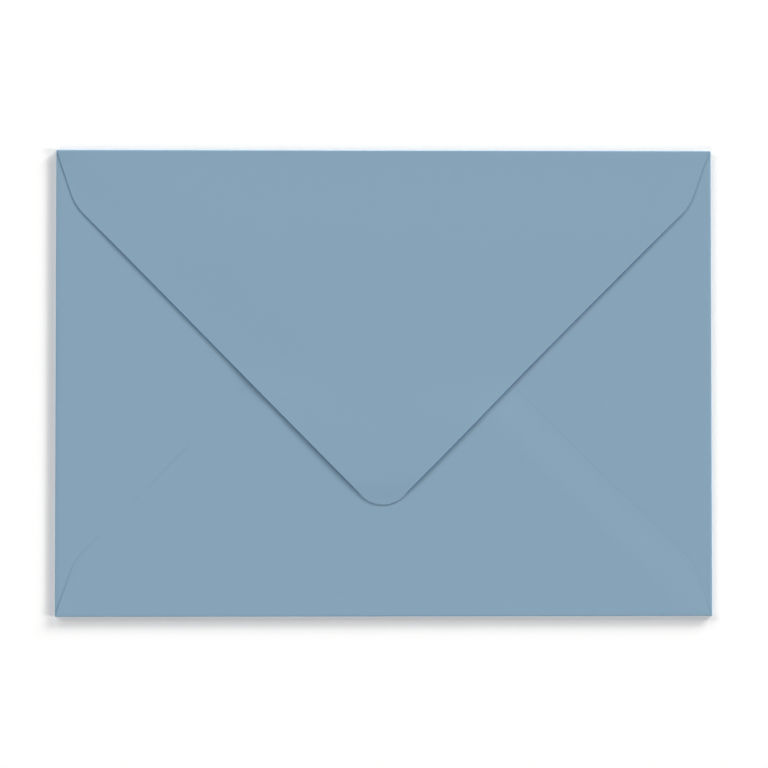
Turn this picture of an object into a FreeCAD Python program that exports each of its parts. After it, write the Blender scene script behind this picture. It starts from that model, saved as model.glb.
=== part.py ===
import FreeCAD, Part
import math
import os

import Sketcher
from FreeCAD import Placement, Rotation, Vector

# A closed paper envelope, folded from one sheet: an address panel with four pointed flaps.
# It lies face down: X runs along the width, +Y points to the fold of the top flap, +Z is up
# out of the back, and the origin is the middle of the address panel's outer face.

# Driving sizes in millimetres, or in degrees where the name ends in angle.
SIZES = (
    ("width", 176.0, "finished envelope, from side fold to side fold"),
    ("height", 125.0, "finished envelope, from the bottom fold to the top fold"),
    ("paper", 0.15, "thickness of the sheet"),
    ("fold_radius", 0.15, "inside radius of every fold"),
    ("pocket_gap", 0.5, "space between the address panel and the side flaps"),
    ("flap_clearance", 0.05, "space between the bottom flap and the closed top flap at its fold"),
    ("tip_lift", 0.15, "rise of the top flap from its fold to its tip"),
    ("root_inset", 0.5, "how far each flap starts from the corner of the panel"),
    ("shoulder_angle", 17.0, "cut back of every flap beside its fold"),
    ("shoulder_depth", 15.0, "top and bottom flap: fold to the corner of the shoulder"),
    ("shoulder_round", 12.5, "top and bottom flap: radius at the shoulder"),
    ("tip_round", 8.1, "top and bottom flap: radius at the tip"),
    ("top_depth", 95.0, "top flap, from its fold to its tip"),
    ("bottom_depth", 95.0, "bottom flap, from its fold to its tip"),
    ("side_shoulder_depth", 8.0, "side flap: fold to the corner of the shoulder"),
    ("side_shoulder_round", 12.0, "side flap: radius at the shoulder"),
    ("side_tip_round", 8.0, "side flap: radius at the tip"),
    ("side_depth", 63.0, "side flap, from its fold to its tip"),
)

# How far a cutting outline or a strip runs past the paper that it trims.
OVERRUN = 5.0
# Edges and faces are picked by height to within this.
PICK = 1e-6


class Size:
    """A dimension as a number, with the same dimension written over the sheet's cells."""

    def __init__(self, number, text):
        self.number = number
        self.text = text

    def __add__(self, other):
        return Size(self.number + other.number, "(%s + %s)" % (self.text, other.text))

    def __sub__(self, other):
        return Size(self.number - other.number, "(%s - %s)" % (self.text, other.text))

    def __mul__(self, factor):
        return Size(self.number * factor, "(%s * %s)" % (self.text, factor))


def plain(number):
    return Size(number, str(number))


def cell(name):
    values = {alias: value for alias, value, meaning in SIZES}
    return Size(values[name], "sizes.%s" % name)


def rise_angle(height, run):
    angle = math.degrees(math.atan2(height.number, run.number))
    return Size(angle, "atan(%s / %s)" % (height.text, run.text))


def write_sheet(doc):
    sheet = doc.addObject("Spreadsheet::Sheet", "sizes")
    for row, (alias, value, meaning) in enumerate(SIZES, start=1):
        sheet.set("A%d" % row, alias)
        sheet.set("B%d" % row, str(value))
        sheet.setAlias("B%d" % row, alias)
        sheet.set("C%d" % row, meaning)
    doc.recompute()


# Heights of the layers above the table, each worked out from the one below it.
PAPER = cell("paper")
OUTER_RADIUS = cell("fold_radius") + PAPER
SIDE_TOP = PAPER * 2 + cell("pocket_gap")
BOTTOM_TOP = SIDE_TOP + PAPER
TOP_TOP = BOTTOM_TOP + cell("flap_clearance") + PAPER
# The panel's rim is turned up to half the height of the lowest fold, where the flaps take over.
RIM_TOP = SIDE_TOP * 0.5


def new_body(doc, name):
    return doc.addObject("PartDesign::Body", name)


def new_sketch(body, name, role):
    sketch = body.newObject("Sketcher::SketchObject", name)
    plane = next(feature for feature in body.Origin.OriginFeatures if feature.Role == role)
    sketch.AttachmentSupport = [(plane, "")]
    sketch.MapMode = "FlatFace"
    return sketch


def line(sketch, start, end):
    return sketch.addGeometry(Part.LineSegment(Vector(*start, 0), Vector(*end, 0)), False)


def arc(sketch, centre, radius, start_angle, end_angle):
    circle = Part.Circle(Vector(*centre, 0), Vector(0, 0, 1), radius)
    return sketch.addGeometry(Part.ArcOfCircle(circle, start_angle, end_angle), False)


def relate(sketch, kind, *places):
    return sketch.addConstraint(Sketcher.Constraint(kind, *places))


def dimension(sketch, name, kind, places, size):
    value = math.radians(size.number) if kind == "Angle" else size.number
    index = relate(sketch, kind, *places, value)
    sketch.renameConstraint(index, name)
    sketch.setExpression("Constraints.%s" % name, size.text)


# Sketcher's names for places: a curve's ends and centre, and the sketch's own axes.
START, END, CENTRE = 1, 2, 3
ACROSS, UPWARD = -1, -2
ORIGIN = (-1, 1)


def pad(body, name, sketch, length, both_ways=False):
    feature = body.newObject("PartDesign::Pad", name)
    feature.Profile = sketch
    feature.SideType = "Symmetric" if both_ways else "One side"
    feature.setExpression("Length", length.text)
    return feature


def address_panel(doc):
    """The panel with its four edges bent up to the height where the flaps begin."""
    body = new_body(doc, "address_panel")
    sketch = new_sketch(body, "panel_outline", "XY_Plane")
    x = cell("width").number / 2
    y = cell("height").number / 2
    corners = ((-x, -y), (x, -y), (x, y), (-x, y))
    sides = [line(sketch, corners[i - 1], corners[i]) for i in (1, 2, 3, 0)]
    low, right, high, left = sides
    for first, second in ((low, right), (right, high), (high, left), (left, low)):
        relate(sketch, "Coincident", first, END, second, START)
    for side in (low, high):
        relate(sketch, "Horizontal", side)
    for side in (right, left):
        relate(sketch, "Vertical", side)
    relate(sketch, "Symmetric", low, START, high, START, *ORIGIN)
    dimension(sketch, "panel_width", "DistanceX", (low, START, low, END), cell("width"))
    dimension(sketch, "panel_height", "DistanceY", (right, START, right, END), cell("height"))
    slab = pad(body, "panel_slab", sketch, RIM_TOP)
    doc.recompute()

    fold = body.newObject("PartDesign::Fillet", "panel_folds")
    low_edges = [
        "Edge%d" % number
        for number, edge in enumerate(slab.Shape.Edges, start=1)
        if edge.BoundBox.ZMax < PICK
    ]
    fold.Base = (slab, low_edges)
    fold.setExpression("Radius", OUTER_RADIUS.text)
    doc.recompute()

    hollow = body.newObject("PartDesign::Thickness", "panel_wall")
    top_face = next(
        "Face%d" % number
        for number, face in enumerate(fold.Shape.Faces, start=1)
        if face.BoundBox.ZMin > RIM_TOP.number - PICK
    )
    hollow.Base = (fold, [top_face])
    hollow.setExpression("Value", PAPER.text)
    hollow.Reversed = True
    hollow.Join = "Arc"
    doc.recompute()
    return body


def fold_strip(doc, name, fold_length, reach, top, lift):
    """A strip of paper that rises from the rim, bends over and runs inwards, as long as the fold."""
    body = new_body(doc, name + "_strip")
    sketch = new_sketch(body, name + "_section", "YZ_Plane")
    inner = cell("fold_radius").number
    outer = OUTER_RADIUS.number
    paper = PAPER.number
    foot = RIM_TOP.number
    bend = top - OUTER_RADIUS
    tilt = math.radians(lift.number)
    along = (math.cos(tilt), math.sin(tilt))
    out = (-math.sin(tilt), math.cos(tilt))
    centre = (outer, bend.number)
    run = (reach.number - outer - outer * out[0]) / along[0]
    over_start = (centre[0] + outer * out[0], centre[1] + outer * out[1])
    over_end = (over_start[0] + run * along[0], over_start[1] + run * along[1])
    under_start = (centre[0] + inner * out[0], centre[1] + inner * out[1])
    under_end = (over_end[0] - paper * out[0], over_end[1] - paper * out[1])

    outer_rise = line(sketch, (0, foot), (0, centre[1]))
    outer_bend = arc(sketch, centre, outer, math.pi / 2 + tilt, math.pi)
    over = line(sketch, over_start, over_end)
    end = line(sketch, over_end, under_end)
    under = line(sketch, under_end, under_start)
    inner_bend = arc(sketch, centre, inner, math.pi / 2 + tilt, math.pi)
    inner_rise = line(sketch, (paper, centre[1]), (paper, foot))
    footing = line(sketch, (paper, foot), (0, foot))

    for joint in ((over, end), (end, under), (inner_rise, footing), (footing, outer_rise)):
        relate(sketch, "Coincident", joint[0], END, joint[1], START)
    relate(sketch, "Tangent", outer_rise, END, outer_bend, END)
    relate(sketch, "Tangent", outer_bend, START, over, START)
    relate(sketch, "Tangent", under, END, inner_bend, START)
    relate(sketch, "Tangent", inner_bend, END, inner_rise, START)
    relate(sketch, "Coincident", outer_bend, CENTRE, inner_bend, CENTRE)
    relate(sketch, "Vertical", outer_rise)
    relate(sketch, "Vertical", inner_rise)
    relate(sketch, "Horizontal", footing)
    relate(sketch, "Perpendicular", over, end)
    relate(sketch, "Parallel", over, under)
    relate(sketch, "PointOnObject", outer_rise, START, UPWARD)
    dimension(sketch, "sheet", "DistanceX", (footing, END, footing, START), PAPER)
    dimension(sketch, "foot", "DistanceY", (*ORIGIN, outer_rise, START), RIM_TOP)
    dimension(sketch, "bend_height", "DistanceY", (*ORIGIN, outer_bend, CENTRE), bend)
    dimension(sketch, "bend_radius", "Radius", (inner_bend,), cell("fold_radius"))
    dimension(sketch, "reach", "DistanceX", (*ORIGIN, over, END), reach)
    if lift.number:
        dimension(sketch, "lift", "Angle", (over,), lift)
    else:
        relate(sketch, "Horizontal", over)
    pad(body, name + "_paper", sketch, fold_length, both_ways=True)
    return body


def flap_outline(doc, name, fold_length, depth, shoulder_depth, shoulder_round, tip_round, height):
    """The plan of a flap as a prism: fold on the X axis, cut-back shoulders, round tip."""
    body = new_body(doc, name + "_plan")
    sketch = new_sketch(body, name + "_outline", "XY_Plane")
    root = fold_length * 0.5 - cell("root_inset")
    half = root.number
    lean = math.radians(cell("shoulder_angle").number)
    radius = shoulder_round.number
    nose = tip_round.number
    tip_centre = (0.0, depth.number - nose)
    corner = (half - shoulder_depth.number * math.tan(lean), shoulder_depth.number)

    # The diagonal side leaves the corner of the shoulder and touches the round of the tip.
    gap = math.hypot(corner[0], tip_centre[1] - corner[1])
    heading = math.atan2(tip_centre[1] - corner[1], -corner[0]) - math.asin(nose / gap)
    touch = math.sqrt(gap ** 2 - nose ** 2)
    turn = heading - (math.pi / 2 + lean)
    trim = radius * math.tan(turn / 2)
    bend_start = (corner[0] + trim * math.sin(lean), corner[1] - trim * math.cos(lean))
    bend_end = (corner[0] + trim * math.cos(heading), corner[1] + trim * math.sin(heading))
    side_end = (corner[0] + touch * math.cos(heading), corner[1] + touch * math.sin(heading))
    centre = (bend_start[0] - radius * math.cos(lean), bend_start[1] - radius * math.sin(lean))
    nose_angle = heading - math.pi / 2

    def mirror(point):
        return (-point[0], point[1])

    foot = line(sketch, (-half, -OVERRUN), (half, -OVERRUN))
    right_root = line(sketch, (half, -OVERRUN), (half, 0))
    right_shoulder = line(sketch, (half, 0), bend_start)
    right_bend = arc(sketch, centre, radius, lean, lean + turn)
    right_side = line(sketch, bend_end, side_end)
    tip = arc(sketch, tip_centre, nose, nose_angle, math.pi - nose_angle)
    left_side = line(sketch, mirror(side_end), mirror(bend_end))
    left_bend = arc(sketch, mirror(centre), radius, math.pi - lean - turn, math.pi - lean)
    left_shoulder = line(sketch, mirror(bend_start), (-half, 0))
    left_root = line(sketch, (-half, 0), (-half, -OVERRUN))
    sharp = sketch.addGeometry(Part.Point(Vector(*corner, 0)), True)

    square = ((foot, right_root), (right_root, right_shoulder), (left_shoulder, left_root),
              (left_root, foot))
    for first, second in square:
        relate(sketch, "Coincident", first, END, second, START)
    smooth = (right_shoulder, right_bend, right_side, tip, left_side, left_bend, left_shoulder)
    for first, second in zip(smooth, smooth[1:]):
        relate(sketch, "Tangent", first, END, second, START)
    relate(sketch, "Horizontal", foot)
    relate(sketch, "Vertical", right_root)
    relate(sketch, "Vertical", left_root)
    relate(sketch, "PointOnObject", right_root, END, ACROSS)
    relate(sketch, "Symmetric", right_root, END, left_root, START, UPWARD)
    relate(sketch, "Symmetric", right_bend, CENTRE, left_bend, CENTRE, UPWARD)
    relate(sketch, "Equal", right_bend, left_bend)
    relate(sketch, "PointOnObject", tip, CENTRE, UPWARD)
    relate(sketch, "PointOnObject", sharp, START, right_shoulder)
    relate(sketch, "PointOnObject", sharp, START, right_side)
    dimension(sketch, "root", "DistanceX", (left_root, START, right_root, END), root * 2)
    dimension(sketch, "overrun", "DistanceY", (right_root, START, right_root, END), plain(OVERRUN))
    dimension(sketch, "lean", "Angle", (right_shoulder,), plain(90.0) + cell("shoulder_angle"))
    dimension(sketch, "shoulder", "DistanceY", (*ORIGIN, sharp, START), shoulder_depth)
    dimension(sketch, "shoulder_bend", "Radius", (right_bend,), shoulder_round)
    dimension(sketch, "nose", "Radius", (tip,), tip_round)
    dimension(sketch, "nose_place", "DistanceY", (*ORIGIN, tip, CENTRE), depth - tip_round)
    pad(body, name + "_prism", sketch, height)
    return body


def flap(doc, name, turn, place, fold_length, depth, top, lift, shoulder):
    """One flap: the folded strip, trimmed to its outline, then turned to its side of the panel."""
    reach = depth + plain(OVERRUN)
    strip = fold_strip(doc, name, fold_length, reach, top, lift)
    height = top + cell("tip_lift") + plain(OVERRUN)
    plan = flap_outline(doc, name, fold_length, depth, *shoulder, height)
    trimmed = doc.addObject("Part::Common", name)
    trimmed.Base = strip
    trimmed.Tool = plan
    trimmed.Placement = Placement(Vector(), Rotation(Vector(0, 0, 1), turn))
    axis, distance = place
    trimmed.setExpression("Placement.Base.%s" % axis, distance.text)
    return trimmed


def folded_envelope(doc):
    """The whole sheet: side flaps first, the bottom flap glued over them, the top flap closed."""
    width = cell("width")
    height = cell("height")
    flat = plain(0.0)
    lift = rise_angle(cell("tip_lift"), cell("top_depth"))
    side = (cell("side_shoulder_depth"), cell("side_shoulder_round"), cell("side_tip_round"))
    point = (cell("shoulder_depth"), cell("shoulder_round"), cell("tip_round"))
    side_depth = cell("side_depth")

    pieces = [
        address_panel(doc),
        flap(doc, "left_flap", -90, ("x", width * -0.5), height, side_depth, SIDE_TOP, flat, side),
        flap(doc, "right_flap", 90, ("x", width * 0.5), height, side_depth, SIDE_TOP, flat, side),
        flap(doc, "bottom_flap", 0, ("y", height * -0.5), width, cell("bottom_depth"),
             BOTTOM_TOP, flat, point),
        flap(doc, "top_flap", 180, ("y", height * 0.5), width, cell("top_depth"),
             TOP_TOP, lift, point),
    ]
    sheet = doc.addObject("Part::MultiFuse", "folded_sheet")
    sheet.Shapes = pieces
    sheet.Refine = True
    sheet.Label = "envelope"
    return sheet


def check(doc, part):
    for item in doc.Objects:
        if "Invalid" in item.State or "Error" in item.State:
            raise RuntimeError("%s failed: %s" % (item.Label, item.State))
        if item.isDerivedFrom("Sketcher::SketchObject") and not item.FullyConstrained:
            raise RuntimeError("%s isn't fully constrained" % item.Label)
    shape = part.Shape
    if shape.isNull() or not shape.isValid():
        raise RuntimeError("%s has no valid shape" % part.Label)
    if len(shape.Solids) != 1:
        raise RuntimeError("%s is %d solids, not one sheet" % (part.Label, len(shape.Solids)))


def build():
    doc = FreeCAD.newDocument("paper_envelope")
    write_sheet(doc)
    envelope = folded_envelope(doc)
    doc.recompute()
    check(doc, envelope)
    os.makedirs("parts", exist_ok=True)
    envelope.Shape.exportStep("parts/%s.step" % envelope.Label)
    box = envelope.Shape.BoundBox
    print("envelope %.2f x %.2f x %.3f mm, %.0f mm3, %d faces"
          % (box.XLength, box.YLength, box.ZLength, envelope.Shape.Volume, len(envelope.Shape.Faces)))


build()
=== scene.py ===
import math
from collections import namedtuple

import bmesh
import bpy
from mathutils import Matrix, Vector, noise


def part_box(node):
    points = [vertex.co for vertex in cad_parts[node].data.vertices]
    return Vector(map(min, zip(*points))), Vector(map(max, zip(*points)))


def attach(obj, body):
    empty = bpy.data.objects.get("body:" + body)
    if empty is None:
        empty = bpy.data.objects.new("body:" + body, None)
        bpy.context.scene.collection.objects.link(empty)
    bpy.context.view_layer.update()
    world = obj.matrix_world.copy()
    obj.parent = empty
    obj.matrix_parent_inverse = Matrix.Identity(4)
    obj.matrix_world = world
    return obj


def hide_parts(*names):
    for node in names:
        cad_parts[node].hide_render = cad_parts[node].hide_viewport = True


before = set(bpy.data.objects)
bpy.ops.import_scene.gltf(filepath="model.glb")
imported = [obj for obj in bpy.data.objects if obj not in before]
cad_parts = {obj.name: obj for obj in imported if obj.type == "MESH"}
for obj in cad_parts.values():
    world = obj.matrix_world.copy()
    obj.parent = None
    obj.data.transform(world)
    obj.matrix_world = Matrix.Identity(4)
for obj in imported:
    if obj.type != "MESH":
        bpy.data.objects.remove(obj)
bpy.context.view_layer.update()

# A closed paper envelope on a white table, seen from straight above. The sheet is cut flat as
# one die-cut blank and then folded, point by point, into the address panel and its four flaps.
# All lengths are in metres. MM turns a length in millimetres into one.
MM = 0.001

low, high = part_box("envelope")
WIDTH = high[0] - low[0]
HEIGHT = high[1] - low[1]

# The sheet
PAPER = 0.15 * MM               # a 120 g paper
FOLD_ROUND = 0.20 * MM          # outside radius of every fold
PAINTED_SHADE_WIDTH = 0.14 * MM                 # width of the line of painted shade along the cut edge

# How strongly that line of painted shade is coloured, from 0 to 1: it deepens the shadow at the edge
LEFT_FLANK_SHADE = 0.85          # on the top flap's long sides
RIGHT_FLANK_SHADE = 1.00
FAINT_SHADE = 0.02               # at its shoulders and its tip
LEFT_SEAM_SHADE = 0.00           # on the other flaps
RIGHT_SEAM_SHADE = 0.10

# How finely the mesh is cut
GRID = 1.6 * MM                 # size of the cells of the flat sheet
GRID_MARGIN = GRID / 4          # no grid line comes nearer than this to a fold
FOLD_CUTS = 6                   # cells across each quarter turn of a fold
TIP_SEGMENTS = 16
SHOULDER_SEGMENTS = 8
SNAP = 0.002 * MM               # a cut as near as this to a corner of the mesh goes through it
SHARP_ANGLE = math.radians(50)  # edges that bend more than this are drawn sharp

# One flap of the blank. side is the way from the panel's middle to the fold, and depth runs from
# the fold to the tip. inset is where the flap starts from the panel's corner, and lean is the
# slant of its short sides, which end at the shoulder. shoulder_round and tip_round are radii, and
# top is the height of the flap's upper face where it leaves the fold.
Flap = namedtuple("Flap", "side depth inset lean shoulder_depth shoulder_round tip_round top")

SIDE_TOP = 0.80 * MM
BOTTOM_TOP = 0.96 * MM          # the glue between it and the side flaps is a film of 0.01 mm
TOP_TOP = 0.975 * MM


def side_flap(way):
    return Flap(
        side=Vector((way, 0)).freeze(),
        depth=63 * MM,
        inset=0.25 * MM,
        lean=math.radians(17),
        shoulder_depth=8 * MM,
        shoulder_round=12 * MM,
        tip_round=8 * MM,
        top=SIDE_TOP,
    )


def pointed_flap(way, top):
    return Flap(
        side=Vector((0, way)).freeze(),
        depth=95.1 * MM,
        inset=0.1 * MM,
        lean=math.radians(18.5),
        shoulder_depth=15 * MM,
        shoulder_round=12.5 * MM,
        tip_round=8.1 * MM,
        top=top,
    )


LEFT = side_flap(-1)
RIGHT = side_flap(1)
BOTTOM = pointed_flap(-1, BOTTOM_TOP)
TOP = pointed_flap(1, TOP_TOP)
FLAPS = (LEFT, RIGHT, BOTTOM, TOP)

# How the layers lie, beyond the plain folds
SETTLE = 5 * MM                 # a flap comes to lie on the layer below this far from its fold
GLUED_EDGE = 0.02 * MM          # thickness that is left at the edge of the bottom flap
GLUED_BAND = 12 * MM            # width over which it is pressed thin
SAG = 0.02 * MM                 # the bottom flap sinks this far where no side flap carries it
SAG_BAND = 6 * MM               # width over which it sinks, beside the side flap's edge
CLIMB = 0.125 * MM              # the top flap climbs onto the tip of the bottom flap
CLIMB_LENGTH = 30 * MM
SPRING = 0.03 * MM              # further rise of the top flap towards its tip
COCKLE = 0.012 * MM             # slow waves in the top flap
COCKLE_LENGTH = 70 * MM
COCKLE_PLACE = Vector((0, 0, 3))

# The top flap's long sides hang down to the side flaps, and stand up beside the tip
LEFT_DROOP = 0.13 * MM
RIGHT_DROOP = 0.03 * MM
LEFT_LIFT = 0.07 * MM
RIGHT_LIFT = 0.165 * MM
EDGE_BAND = 25 * MM             # width of the band that droops and lifts

# The top flap's edge is pressed thin at its shoulders and its tip, by this much of the paper
LEFT_THIN = 0.125 * MM
RIGHT_THIN = 0.02 * MM
TIP_THIN = 0.055 * MM
THIN_BAND = 14 * MM

# The top flap is folded a little askew, to the left. It is also cut a little narrower on the
# right, and so is the bottom flap.
TIP_DRIFT = 0.40 * MM
RIGHT_DRIFT = 0.87 * MM
SEAM_DRIFT = 1.8 * MM

# Ramps: where something starts to grow and where it is full, as depths from the flap's fold. A
# pair of ramps is where it grows and where it fades again.
THIN_SHOULDER = ((0.3 * MM, 2 * MM), (4 * MM, 26 * MM))
THIN_TIP = (86 * MM, 94 * MM)
HANGING = ((4 * MM, 24 * MM), (54 * MM, 66 * MM))
STANDING = ((60 * MM, 75 * MM), (89 * MM, 96 * MM))
FLANK_LINE = ((8 * MM, 30 * MM), (91 * MM, 94.5 * MM))
ASKEW = (20 * MM, 90 * MM)
NARROWER = (-70 * MM, 55 * MM)
FROM_FOLD = (0, 4 * MM)
INTO_TIP = (52 * MM, 86 * MM)
SEAM = (5 * MM, 55 * MM)

# Ramps from the left half of a flap to its right half
EDGE_HALVES = (-10 * MM, 10 * MM)
DRIFT_HALVES = (-40 * MM, 40 * MM)

# The paper's colours and surface
PAPER_DARK = "84A1B6"
PAPER_LIGHT = "86A2B7"
PAINTED_SHADE_BLUE = "0F4A7C"         # painted shade: the dark line along the cut edge, deepening the shadow line beside it
CLOUD_SIZE = 4 * MM             # faint clouds of the pulp
FIBRE_SIZE = (1.5 * MM, 0.08 * MM, 1 * MM)
FIBRE_TURNS = (20, 75, 140)     # degrees
TOOTH_SIZE = 0.3 * MM
SURFACE_RELIEF = 0.0015 * MM

# The table and the surround
WHITE = (1.0, 1.0, 1.0, 1.0)
TABLE_SIZE = 3.0
TABLE_LIFT = 0.015              # how much lighter the table is seen than it lights
SURROUND = 0.085                # the surround's share of the light on a level sheet

# The camera, solved from the four corners of the envelope in the photograph
LENS = 85.0
CAMERA_PLACE = Vector((-6.7, -9.6, 487.0)) * MM
CAMERA_TURN = (math.radians(1.095), math.radians(-0.778), 0.0)


def smooth_step(low_end, high_end, value):
    t = min(max((value - low_end) / (high_end - low_end), 0.0), 1.0)
    return t * t * (3 - 2 * t)


def between(ramps, value):
    """0 up to the first ramp, 1 between the two and 0 after the second."""
    growing, fading = ramps
    return smooth_step(*growing, value) * (1 - smooth_step(*fading, value))


# The flat blank

def half_extent(flap):
    """Half the panel's size across the flap's fold."""
    return (WIDTH if flap.side.x else HEIGHT) / 2


def half_root(flap):
    """Half the length of the flap's fold."""
    return (HEIGHT if flap.side.x else WIDTH) / 2 - flap.inset


QUARTER = FOLD_ROUND * math.pi / 2


def fold_start(flap):
    """Where the flat panel ends and the fold begins, from the panel's middle."""
    return half_extent(flap) - FOLD_ROUND


def fold_rise(flap):
    """Height of the upright part between the fold's two quarter turns."""
    return flap.top - 2 * FOLD_ROUND


def fold_length(flap):
    return 2 * QUARTER + fold_rise(flap)


def flat_place(flap, depth):
    """Distance from the panel's middle, on the flat blank, of a point at that depth of the flap."""
    return fold_start(flap) + fold_length(flap) + depth - FOLD_ROUND


def along_flap_fold(flap):
    """The direction in which the flap's fold runs."""
    return Vector((-flap.side.y, flap.side.x))


def point(flap, out, across):
    """A point of the blank: out from the panel's middle, and across the flap."""
    return flap.side * out + along_flap_fold(flap) * across


def shoulder_half_width(flap):
    return half_root(flap) - flap.shoulder_depth * math.tan(flap.lean)


def flank_heading(flap):
    """Angle between the flap's middle line and its long straight side, which the tip's arc meets."""
    reach = flap.depth - flap.tip_round - flap.shoulder_depth
    across = shoulder_half_width(flap)
    return math.atan2(across, reach) - math.asin(flap.tip_round / math.hypot(across, reach))


def sharp_depth(flap):
    """Depth at which the flap's two long sides would meet, had the tip no round."""
    return flap.shoulder_depth + shoulder_half_width(flap) / math.tan(flank_heading(flap))


def edge_distance(flap, place):
    """How far inside the flap's long sides and tip a point of the folded envelope lies."""
    depth = half_extent(flap) - place.dot(flap.side)
    across = abs(place.dot(along_flap_fold(flap)))
    heading = flank_heading(flap)
    from_flank = (sharp_depth(flap) - depth) * math.sin(heading) - across * math.cos(heading)
    return min(from_flank, flap.depth - depth)


def cut_blank(bm):
    """The die-cut blank, flat: the panel and its four flaps as five faces, corners rounded."""
    rim = Vector((WIDTH, HEIGHT)) / 2 - Vector((FOLD_ROUND, FOLD_ROUND)) + Vector((QUARTER, QUARTER))
    roots = {}
    for flap in FLAPS:
        out = abs(rim.dot(flap.side))
        for way in (-1, 1):
            place = point(flap, out, way * half_root(flap))
            roots[flap, way] = bm.verts.new((*place, 0))
    corners = []
    for x, y in ((-1, -1), (1, -1), (1, 1), (-1, 1)):
        corners.append(bm.verts.new((x * rim.x, y * rim.y, 0)))
    border = (
        corners[0], roots[BOTTOM, -1], roots[BOTTOM, 1],
        corners[1], roots[RIGHT, -1], roots[RIGHT, 1],
        corners[2], roots[TOP, -1], roots[TOP, 1],
        corners[3], roots[LEFT, -1], roots[LEFT, 1],
    )
    bm.faces.new(border)

    for flap in FLAPS:
        fold_end = half_root(flap) - FOLD_ROUND * math.tan(flap.lean)
        profile = (
            (flat_place(flap, FOLD_ROUND), fold_end),
            (flat_place(flap, flap.shoulder_depth), shoulder_half_width(flap)),
        )
        right = [bm.verts.new((*point(flap, out, across), 0)) for out, across in profile]
        left = [bm.verts.new((*point(flap, out, -across), 0)) for out, across in profile]
        tip = bm.verts.new((*point(flap, flat_place(flap, sharp_depth(flap)), 0), 0))
        bm.faces.new((roots[flap, -1], *left, tip, *reversed(right), roots[flap, 1]))
        round_corners(bm, flap, tip, (left[1], right[1]))
    bmesh.ops.recalc_face_normals(bm, faces=bm.faces[:])


def round_corners(bm, flap, tip, shoulders):
    """Rounds the flap's tip and its two shoulders. A trim is where the round meets the sides."""
    heading = flank_heading(flap)
    tip_trim = flap.tip_round / math.tan(heading)
    shoulder_trim = flap.shoulder_round * math.tan((heading - flap.lean) / 2)
    rounds = (
        ([tip], tip_trim, TIP_SEGMENTS),
        (list(shoulders), shoulder_trim, SHOULDER_SEGMENTS),
    )
    for verts, trim, segments in rounds:
        bmesh.ops.bevel(bm, geom=verts, offset=trim, offset_type="OFFSET", segments=segments,
                        profile=0.5, affect="VERTICES", material=-1)


def inset_painted_shade_rim(bm):
    """A narrow strip all along the cut edge, which the material paints deep blue as painted shade."""
    layer = bm.faces.layers.float.new("painted_shade_rim")
    rim = bmesh.ops.inset_region(bm, faces=bm.faces[:], thickness=PAINTED_SHADE_WIDTH, use_boundary=True,
                                 use_even_offset=True)
    for face in rim["faces"]:
        # Marks the strip that is painted as shade
        face[layer] = 1.0


def painted_shade_strength(flat):
    """How strong the painted shade line is at a point of the flat blank: strongest on the top flap's
    long sides.
    """
    depth = flat.y - half_extent(TOP)
    if depth > 0:
        flank = LEFT_FLANK_SHADE if flat.x < 0 else RIGHT_FLANK_SHADE
        return FAINT_SHADE + (flank - FAINT_SHADE) * between(FLANK_LINE, depth)
    return RIGHT_SEAM_SHADE if flat.x > 0 else LEFT_SEAM_SHADE


def grade_painted_shade(bm):
    # Gives each face of the strip its strength of painted shade
    layer = bm.faces.layers.float["painted_shade_rim"]
    for face in bm.faces:
        if face[layer] > 0:
            face[layer] = painted_shade_strength(face.calc_center_median())


def thicken(bm):
    """Gives the sheet its thickness. The outer face is at height 0, and the inner one above it."""
    bmesh.ops.solidify(bm, geom=bm.faces[:], thickness=-PAPER)
    outer = min(vert.co.z for vert in bm.verts)
    for vert in bm.verts:
        vert.co.z -= outer
    bmesh.ops.recalc_face_normals(bm, faces=bm.faces[:])


def grid_lines(reach):
    count = int(reach / GRID)
    return [i * GRID for i in range(-count, count + 1)]


def fold_lines(flap):
    """Cuts that let the flap's fold bend round, as distances from the panel's middle."""
    start = fold_start(flap)
    second = start + QUARTER + fold_rise(flap)
    steps = [QUARTER * i / FOLD_CUTS for i in range(FOLD_CUTS + 1)]
    return [start + step for step in steps] + [second + step for step in steps]


def cut(bm, direction, distance):
    """Cuts the whole blank along a line square to the direction."""
    everything = bm.verts[:] + bm.edges[:] + bm.faces[:]
    bmesh.ops.bisect_plane(bm, geom=everything, plane_co=(*(direction * distance), 0),
                           plane_no=(*direction, 0), dist=SNAP)


def cut_grid(bm):
    """Cuts the blank into small cells, and the folds into finer ones."""
    for direction, flaps in ((Vector((1, 0)), (LEFT, RIGHT)), (Vector((0, 1)), (BOTTOM, TOP))):
        reach = max(flat_place(flap, flap.depth) for flap in flaps)
        start = fold_start(flaps[0])
        end = start + max(fold_length(flap) for flap in flaps)
        places = []
        for place in grid_lines(reach):
            if not start - GRID_MARGIN < abs(place) < end + GRID_MARGIN:
                places.append(place)
        for flap in flaps:
            places += [direction.dot(flap.side) * line for line in fold_lines(flap)]
        for place in sorted(places):
            cut(bm, direction, place)


# Folding

def along_fold(flap, distance, depth_in_paper):
    """Follows the fold: distance is measured on the outer face from where the panel ends.

    Gives how far out the point lies from there, and its height. depth_in_paper runs from the
    outer face inwards.
    """
    radius = FOLD_ROUND - depth_in_paper
    rise = fold_rise(flap)
    if distance <= 0:
        return distance, depth_in_paper
    if distance < QUARTER:
        angle = distance / FOLD_ROUND
        return radius * math.sin(angle), FOLD_ROUND - radius * math.cos(angle)
    if distance < QUARTER + rise:
        return radius, FOLD_ROUND + distance - QUARTER
    if distance < 2 * QUARTER + rise:
        angle = (distance - QUARTER - rise) / FOLD_ROUND
        return radius * math.cos(angle), flap.top - FOLD_ROUND + radius * math.sin(angle)
    return -(distance - 2 * QUARTER - rise), flap.top - depth_in_paper


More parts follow.
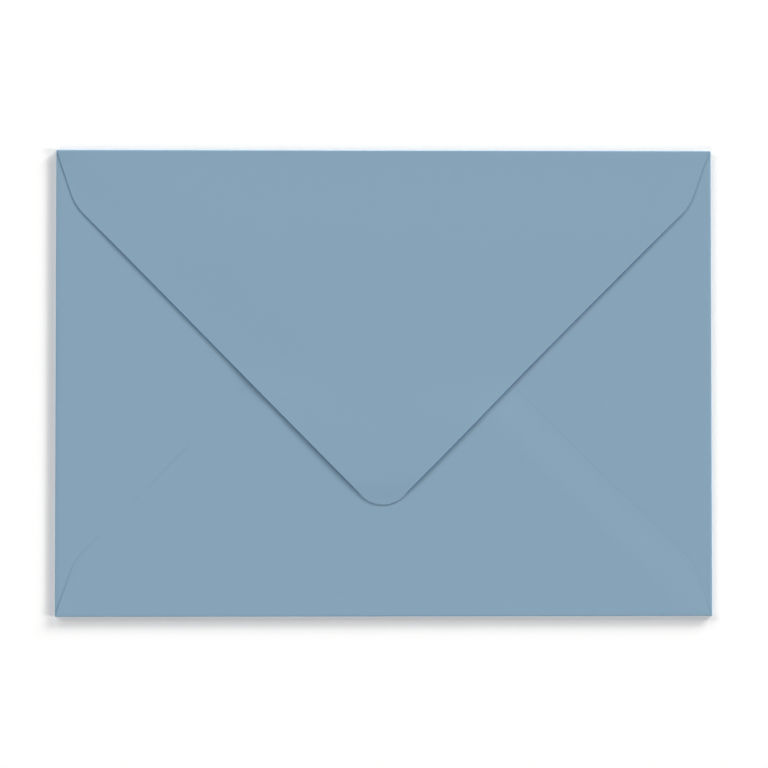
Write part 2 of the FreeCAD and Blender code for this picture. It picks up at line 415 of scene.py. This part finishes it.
def cockle(place):
    spot = Vector((place.x, place.y, 0)) / COCKLE_LENGTH
    return COCKLE * noise.noise(spot + COCKLE_PLACE)


def carried(place):
    """1 where a side flap lies under the bottom flap, and softly down to 0 away from them."""
    inside = max(edge_distance(LEFT, place), edge_distance(RIGHT, place))
    return smooth_step(-SAG_BAND, 0, inside)


def pressed(flap, place):
    """How much of a flap's thickness is pressed away along its edges."""
    depth = half_extent(flap) - place.dot(flap.side)
    inside = edge_distance(flap, place)
    if flap is BOTTOM:
        band = 1 - smooth_step(0, GLUED_BAND, inside)
        return (PAPER - GLUED_EDGE) * band * smooth_step(0, SETTLE, depth)
    if flap is TOP:
        band = 1 - smooth_step(0, THIN_BAND, inside)
        at_shoulder = LEFT_THIN if place.x < 0 else RIGHT_THIN
        shoulder = between(THIN_SHOULDER, depth)
        tip = smooth_step(*THIN_TIP, depth)
        return band * (at_shoulder * shoulder + TIP_THIN * tip)
    return 0.0


def top_flap_edge(place, depth):
    """The top flap's long sides hang down beside the fold and stand up a little beside the tip."""
    band = 1 - smooth_step(0, EDGE_BAND, edge_distance(TOP, place))
    to_right = smooth_step(*EDGE_HALVES, place.x)
    lift = LEFT_LIFT + (RIGHT_LIFT - LEFT_LIFT) * to_right
    droop = LEFT_DROOP + (RIGHT_DROOP - LEFT_DROOP) * to_right
    return band * (lift * between(STANDING, depth) - droop * between(HANGING, depth))


def top_flap_drift(place, depth):
    """How far a point of the top flap lies to the left of where a true fold would put it."""
    left = TIP_DRIFT * smooth_step(*ASKEW, depth)
    right = RIGHT_DRIFT * smooth_step(*NARROWER, depth) * smooth_step(*FROM_FOLD, depth)
    right += (TIP_DRIFT - RIGHT_DRIFT) * smooth_step(*INTO_TIP, depth)
    to_right = smooth_step(*DRIFT_HALVES, place.x)
    return left + (right - left) * to_right


def bottom_flap_drift(place, depth):
    """How much narrower the bottom flap is on the right than on the left."""
    return SEAM_DRIFT * smooth_step(*SEAM, depth) * smooth_step(*DRIFT_HALVES, place.x)


def lie(flap, place, depth):
    """What the layers below and the paper's own spring add to a flap's height."""
    settled = smooth_step(0, SETTLE, depth)
    if flap is BOTTOM:
        return -settled * SAG * (1 - carried(place))
    if flap is TOP:
        climb = CLIMB * smooth_step(0, CLIMB_LENGTH, depth)
        spring = SPRING * depth / flap.depth
        return climb + spring + top_flap_edge(place, depth) + settled * cockle(place)
    return 0.0


def fold_point(flat, depth_in_paper):
    """Where a point of the flat blank goes when the sheet is folded."""
    bent = []
    for flap in FLAPS:
        over = flat.dot(flap.side) - fold_start(flap)
        if over > 0:
            bent.append((over, flap))
    if not bent:
        return Vector((flat.x, flat.y, depth_in_paper))

    place = Vector((flat.x, flat.y))
    height = depth_in_paper
    for over, flap in bent:
        out, rise = along_fold(flap, over, depth_in_paper)
        place += flap.side * (out - over)
        height = max(height, rise)
    over, flap = max(bent, key=lambda pair: pair[0])
    if over > fold_length(flap):
        depth = over - fold_length(flap) + FOLD_ROUND
        thin = pressed(flap, place)
        height = flap.top + lie(flap, place, depth) - thin - depth_in_paper * (1 - thin / PAPER)
        if flap is TOP:
            place.x -= top_flap_drift(place, depth)
        if flap is BOTTOM:
            place.x -= bottom_flap_drift(place, depth)
    return Vector((place.x, place.y, height))


def folded_sheet():
    """The whole envelope as one piece: cut, given a line of painted shade along its cut edge,
    thickened, and folded with its flaps' edges pressed thin.
    """
    bm = bmesh.new()
    cut_blank(bm)
    inset_painted_shade_rim(bm)
    thicken(bm)
    cut_grid(bm)
    grade_painted_shade(bm)
    for vert in bm.verts:
        flat = Vector((vert.co.x, vert.co.y))
        vert.co = fold_point(flat, min(max(vert.co.z, 0.0), PAPER))
    mesh = bpy.data.meshes.new("envelope_paper")
    bm.to_mesh(mesh)
    bm.free()
    for polygon in mesh.polygons:
        polygon.use_smooth = True
    mesh.set_sharp_from_angle(angle=SHARP_ANGLE)
    piece = bpy.data.objects.new("envelope_paper", mesh)
    bpy.context.collection.objects.link(piece)
    return piece


# Materials

def linear(hex_colour):
    """An sRGB hex colour as a linear RGBA."""
    parts = [int(hex_colour[i:i + 2], 16) / 255 for i in (0, 2, 4)]
    return (*[p / 12.92 if p <= 0.04045 else ((p + 0.055) / 1.055) ** 2.4 for p in parts], 1.0)


def add(tree, kind, settings=None, **inputs):
    """Adds a node. settings are its properties, and inputs are values or links for its sockets.

    A socket is named with _ for a space, or as i and its number where its name isn't unique.
    """
    node = tree.nodes.new(kind)
    for name, value in (settings or {}).items():
        setattr(node, name, value)
    for name, value in inputs.items():
        key = int(name[1:]) if name.startswith("i") else name.replace("_", " ")
        socket = node.inputs[key]
        if isinstance(value, bpy.types.NodeSocket):
            tree.links.new(value, socket)
        else:
            socket.default_value = value
    return node


def sum_of(tree, first, second, **settings):
    """The sum of two values."""
    settings["operation"] = "ADD"
    return add(tree, "ShaderNodeMath", settings, i0=first, i1=second).outputs["Value"]


def new_material(name):
    material = bpy.data.materials.new(name)
    material.use_nodes = True
    material.node_tree.nodes.clear()
    return material, material.node_tree


def wove_paper():
    """Uncoated wove paper, dyed through and milled smooth.

    It looks matt and even. Close up there are felted fibres and the faint clouds of the pulp.
    Along the cut edges a fine deep blue line is painted as shade, deepening the shadow line there.
    """
    material, tree = new_material("wove_paper_dyed")
    place = add(tree, "ShaderNodeTexCoord").outputs["Object"]

    # Clouds of the pulp, and the line of painted shade along the cut edge over them
    cloud = add(tree, "ShaderNodeTexNoise", Vector=place, Scale=1 / CLOUD_SIZE, Detail=3.0,
                Roughness=0.6)
    tone = add(tree, "ShaderNodeMix", {"data_type": "RGBA"}, i0=cloud.outputs["Fac"],
               i6=linear(PAPER_DARK), i7=linear(PAPER_LIGHT))
    rim = add(tree, "ShaderNodeAttribute", {"attribute_name": "painted_shade_rim"})
    # Painted shade: the edge strip is mixed towards a deep blue, darkening the shadow line beside it
    colour = add(tree, "ShaderNodeMix", {"data_type": "RGBA"}, i0=rim.outputs["Fac"],
                 i6=tone.outputs["Result"], i7=linear(PAINTED_SHADE_BLUE))

    # Fibres, which lie every way. Real ones are 0.03 mm wide, and these are drawn 0.08 mm wide,
    # because finer ones don't show.
    layers = []
    for turn in FIBRE_TURNS:
        laid = add(tree, "ShaderNodeMapping", {"vector_type": "TEXTURE"}, Vector=place,
                   Rotation=(0, 0, math.radians(turn)), Scale=FIBRE_SIZE)
        fibre = add(tree, "ShaderNodeTexNoise", Vector=laid.outputs["Vector"], Scale=1.0,
                    Detail=2.0, Distortion=0.4)
        layers.append(fibre.outputs["Fac"])

    # The fine tooth between them, which a fingertip feels
    tooth = add(tree, "ShaderNodeTexNoise", Vector=place, Scale=1 / TOOTH_SIZE, Detail=4.0,
                Roughness=0.7)
    layers.append(tooth.outputs["Fac"])

    height = layers[0]
    for layer in layers[1:]:
        height = sum_of(tree, height, layer)
    bump = add(tree, "ShaderNodeBump", Height=height, Distance=SURFACE_RELIEF, Strength=1.0)

    shader = add(tree, "ShaderNodeBsdfPrincipled", Base_Color=colour.outputs["Result"],
                 Roughness=0.9, Specular_IOR_Level=0.2, Normal=bump.outputs["Normal"])
    add(tree, "ShaderNodeOutputMaterial", Surface=shader.outputs["BSDF"])
    return material


def seen_directly(tree):
    """1 for what the camera sees straight, in a gloss or through glass, and 0 for other light."""
    path = add(tree, "ShaderNodeLightPath")
    seen = path.outputs["Is Camera Ray"]
    for kind in ("Is Glossy Ray", "Is Transmission Ray"):
        seen = sum_of(tree, seen, path.outputs[kind], use_clamp=True)
    return seen


def white_table():
    """A matt white table top, seen a touch lighter than it lights, so that it is clean white."""
    material, tree = new_material("white_table")
    matt = add(tree, "ShaderNodeBsdfDiffuse", Color=WHITE)
    strength = add(tree, "ShaderNodeMath", {"operation": "MULTIPLY"}, i0=seen_directly(tree),
                   i1=TABLE_LIFT)
    lift = add(tree, "ShaderNodeEmission", Strength=strength.outputs["Value"])
    both = add(tree, "ShaderNodeAddShader", i0=matt.outputs["BSDF"], i1=lift.outputs["Emission"])
    add(tree, "ShaderNodeOutputMaterial", Surface=both.outputs["Shader"])
    return material


# The table, the camera and the light

def table_top():
    bm = bmesh.new()
    bmesh.ops.create_grid(bm, x_segments=1, y_segments=1, size=TABLE_SIZE)
    mesh = bpy.data.meshes.new("table_top")
    bm.to_mesh(mesh)
    bm.free()
    top = bpy.data.objects.new("table_top", mesh)
    bpy.context.collection.objects.link(top)
    mesh.materials.append(white_table())


def camera():
    data = bpy.data.cameras.new("camera")
    data.lens = LENS
    view = bpy.data.objects.new("camera", data)
    view.location = CAMERA_PLACE
    view.rotation_euler = CAMERA_TURN
    bpy.context.collection.objects.link(view)
    bpy.context.scene.camera = view


def tint(hex_colour):
    """A lamp's tint. Its green is 1, so that it hardly changes how strong the light is."""
    red, green, blue, _ = linear(hex_colour)
    return red / green, 1.0, blue / green


def sun(colour, azimuth, elevation, spread, share):
    """A far lamp that gives this share of the light on a level sheet. Angles are in degrees."""
    data = bpy.data.lights.new("sun", "SUN")
    data.color = colour
    data.angle = math.radians(spread)
    data.energy = math.pi * share / math.sin(math.radians(elevation))
    lamp = bpy.data.objects.new("sun", data)
    lamp.rotation_euler = (0, math.radians(90 - elevation), math.radians(azimuth))
    bpy.context.collection.objects.link(lamp)


def surround():
    """Even light from all round. It is dim where it lights the object, and white to the eye."""
    world = bpy.data.worlds.new("surround")
    bpy.context.scene.world = world
    world.use_nodes = True
    tree = world.node_tree
    tree.nodes.clear()
    strength = add(tree, "ShaderNodeMapRange", Value=seen_directly(tree), To_Min=SURROUND,
                   To_Max=1.0)
    sky = add(tree, "ShaderNodeBackground", Color=WHITE, Strength=strength.outputs["Result"])
    add(tree, "ShaderNodeOutputWorld", Surface=sky.outputs["Background"])


def light():
    """Low lamps from the right round to the top, and higher, softer ones on the other sides.

    The low ones are a touch warm and the others a touch cool, so that the shadows are a little
    blue and the whole light is white. With the surround, the shares add up to about 1, so that a
    level sheet renders in its own colour.
    """
    warm = tint("FFFCF8")
    cool = tint("F8FBFF")
    # Tint, azimuth, elevation and spread in degrees, and share of the light on a level sheet
    lamps = (
        (warm, -8, 14.5, 10, 0.168),
        (warm, 40, 10, 10, 0.170),
        (warm, 60, 11, 10, 0.118),
        (warm, 110, 15, 10, 0.063),
        (cool, 142, 20, 18, 0.185),
        (cool, 240, 32, 18, 0.118),
        (cool, 270, 24, 18, 0.050),
        (cool, 330, 32, 18, 0.032),
    )
    surround()
    for lamp in lamps:
        sun(*lamp)


bpy.context.scene.view_settings.view_transform = "Standard"
camera()
light()
table_top()

paper = folded_sheet()
paper.data.materials.append(wove_paper())
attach(paper, "root")
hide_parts("envelope")
